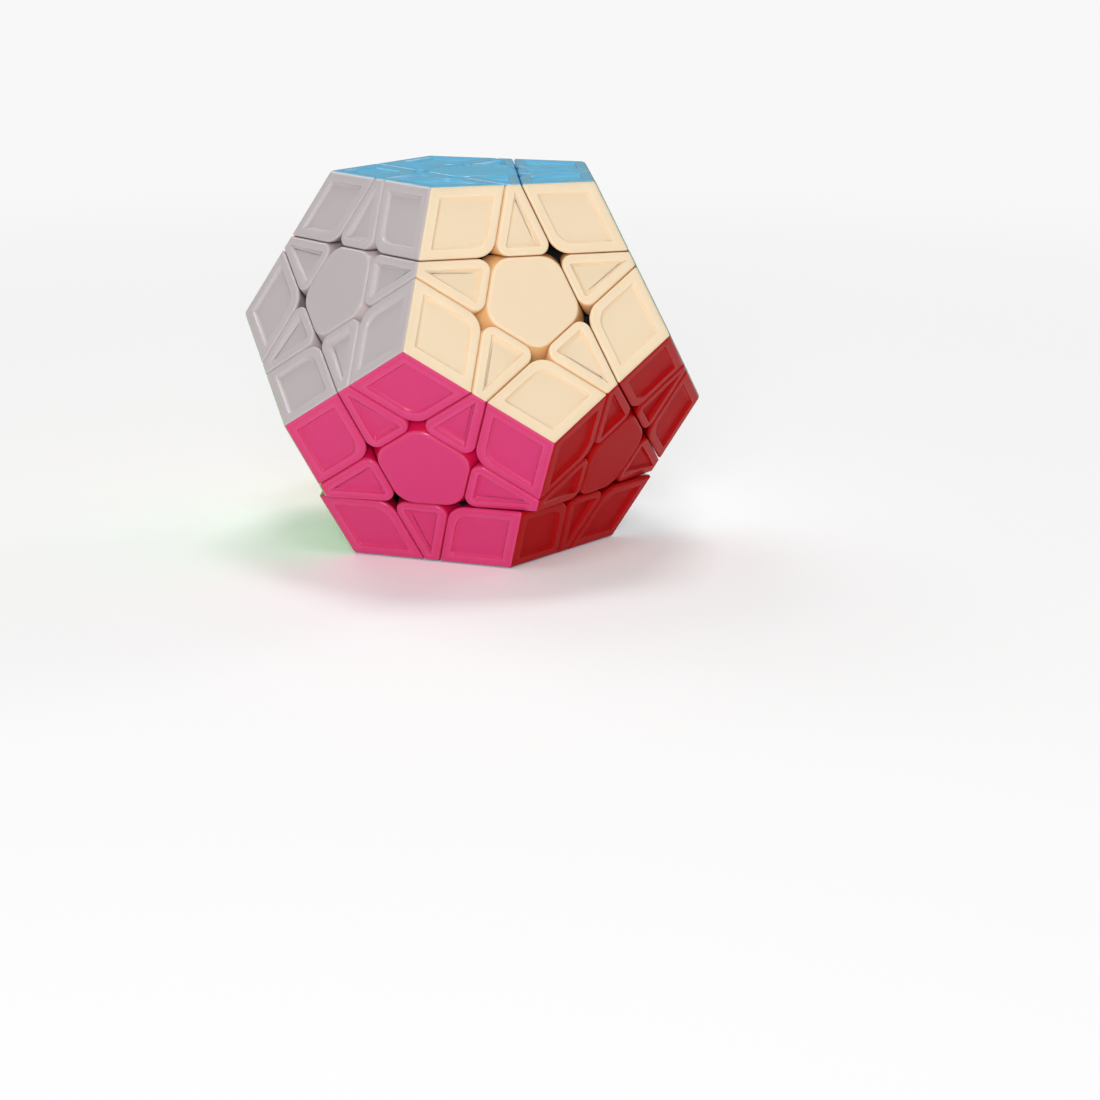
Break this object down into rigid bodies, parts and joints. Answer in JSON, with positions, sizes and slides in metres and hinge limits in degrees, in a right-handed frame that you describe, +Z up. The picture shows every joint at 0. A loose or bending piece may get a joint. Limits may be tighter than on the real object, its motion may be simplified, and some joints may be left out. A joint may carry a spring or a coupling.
{
  "type": "dodecahedron twisty puzzle",
  "caption": "Twelve-sided twisty puzzle: coloured centres, edges and corners held round a core, with layers that turn about the faces' axes.",
  "frame": {"origin": "middle of the dark blue face that the puzzle stands on", "axes": "+Z up through the light blue face; the beige face looks along -Y and up; the dark blue bottom layer rests 4.6 degrees out of line, and dark_blue_turn at -4.6 degrees lines it up"},
  "size_m": [0.086, 0.0904, 0.0735],
  "materials": {
    "light_blue": "satin moulded",
    "beige": "satin moulded",
    "grey": "satin moulded",
    "orange": "satin moulded",
    "purple": "satin moulded",
    "dark_green": "satin moulded",
    "pink": "satin moulded",
    "lime": "satin moulded",
    "yellow": "satin moulded",
    "white": "satin moulded",
    "red": "satin moulded",
    "dark_blue": "satin moulded",
    "dark_plastic": "moulded",
    "steel": "plain"
  },
  "bodies": {
    "core": {"core_with_nine_centres": "dark_plastic", "edge_light_blue_grey": "light_blue", "edge_light_blue_purple": "light_blue", "edge_light_blue_dark_green": "light_blue", "edge_grey_pink": "grey", "edge_grey_lime": "grey", "edge_purple_dark_green": "purple", "edge_purple_yellow": "purple", "edge_purple_white": "purple", "edge_dark_green_white": "dark_green", "edge_dark_green_red": "dark_green", "edge_pink_lime": "pink", "edge_pink_red": "pink", "edge_lime_yellow": "lime", "edge_yellow_white": "yellow", "edge_white_red": "white", "corner_light_blue_dark_green_purple": "light_blue", "corner_grey_lime_pink": "grey", "corner_purple_dark_green_white": "purple", "corner_purple_white_yellow": "purple", "corner_dark_green_red_white": "dark_green", "screw_beige": "steel", "spring_beige": "steel", "screw_orange": "steel", "spring_orange": "steel", "screw_dark_blue": "steel", "spring_dark_blue": "steel"},
    "beige_layer": {"centre_beige": "beige", "edge_light_blue_beige": "light_blue", "edge_beige_grey": "beige", "edge_beige_dark_green": "beige", "edge_beige_pink": "beige", "edge_beige_red": "beige", "corner_light_blue_grey_beige": "light_blue", "corner_light_blue_beige_dark_green": "light_blue", "corner_beige_grey_pink": "beige", "corner_beige_red_dark_green": "beige", "corner_beige_pink_red": "beige"},
    "orange_layer": {"centre_orange": "orange", "edge_light_blue_orange": "light_blue", "edge_grey_orange": "grey", "edge_orange_purple": "orange", "edge_orange_lime": "orange", "edge_orange_yellow": "orange", "corner_light_blue_orange_grey": "light_blue", "corner_light_blue_purple_orange": "light_blue", "corner_grey_orange_lime": "grey", "corner_orange_purple_yellow": "orange", "corner_orange_yellow_lime": "orange"},
    "dark_blue_layer": {"centre_dark_blue": "dark_blue", "edge_pink_dark_blue": "pink", "edge_lime_dark_blue": "lime", "edge_yellow_dark_blue": "yellow", "edge_white_dark_blue": "white", "edge_red_dark_blue": "red", "corner_pink_lime_dark_blue": "pink", "corner_pink_dark_blue_red": "pink", "corner_lime_yellow_dark_blue": "lime", "corner_yellow_white_dark_blue": "yellow", "corner_white_red_dark_blue": "white"}
  },
  "joints": [
    {"name": "beige_turn", "type": "hinge", "parent": "core", "child": "beige_layer", "pos_m": [0, 0, 0.03675], "axis": [0, -0.8944, 0.4472], "continuous": true},
    {"name": "orange_turn", "type": "hinge", "parent": "core", "child": "orange_layer", "pos_m": [0, 0, 0.03675], "axis": [-0.5257, 0.7236, 0.4472], "continuous": true},
    {"name": "dark_blue_turn", "type": "hinge", "parent": "core", "child": "dark_blue_layer", "pos_m": [0, 0, 0.03675], "axis": [0, 0, -1], "continuous": true}
  ]
}
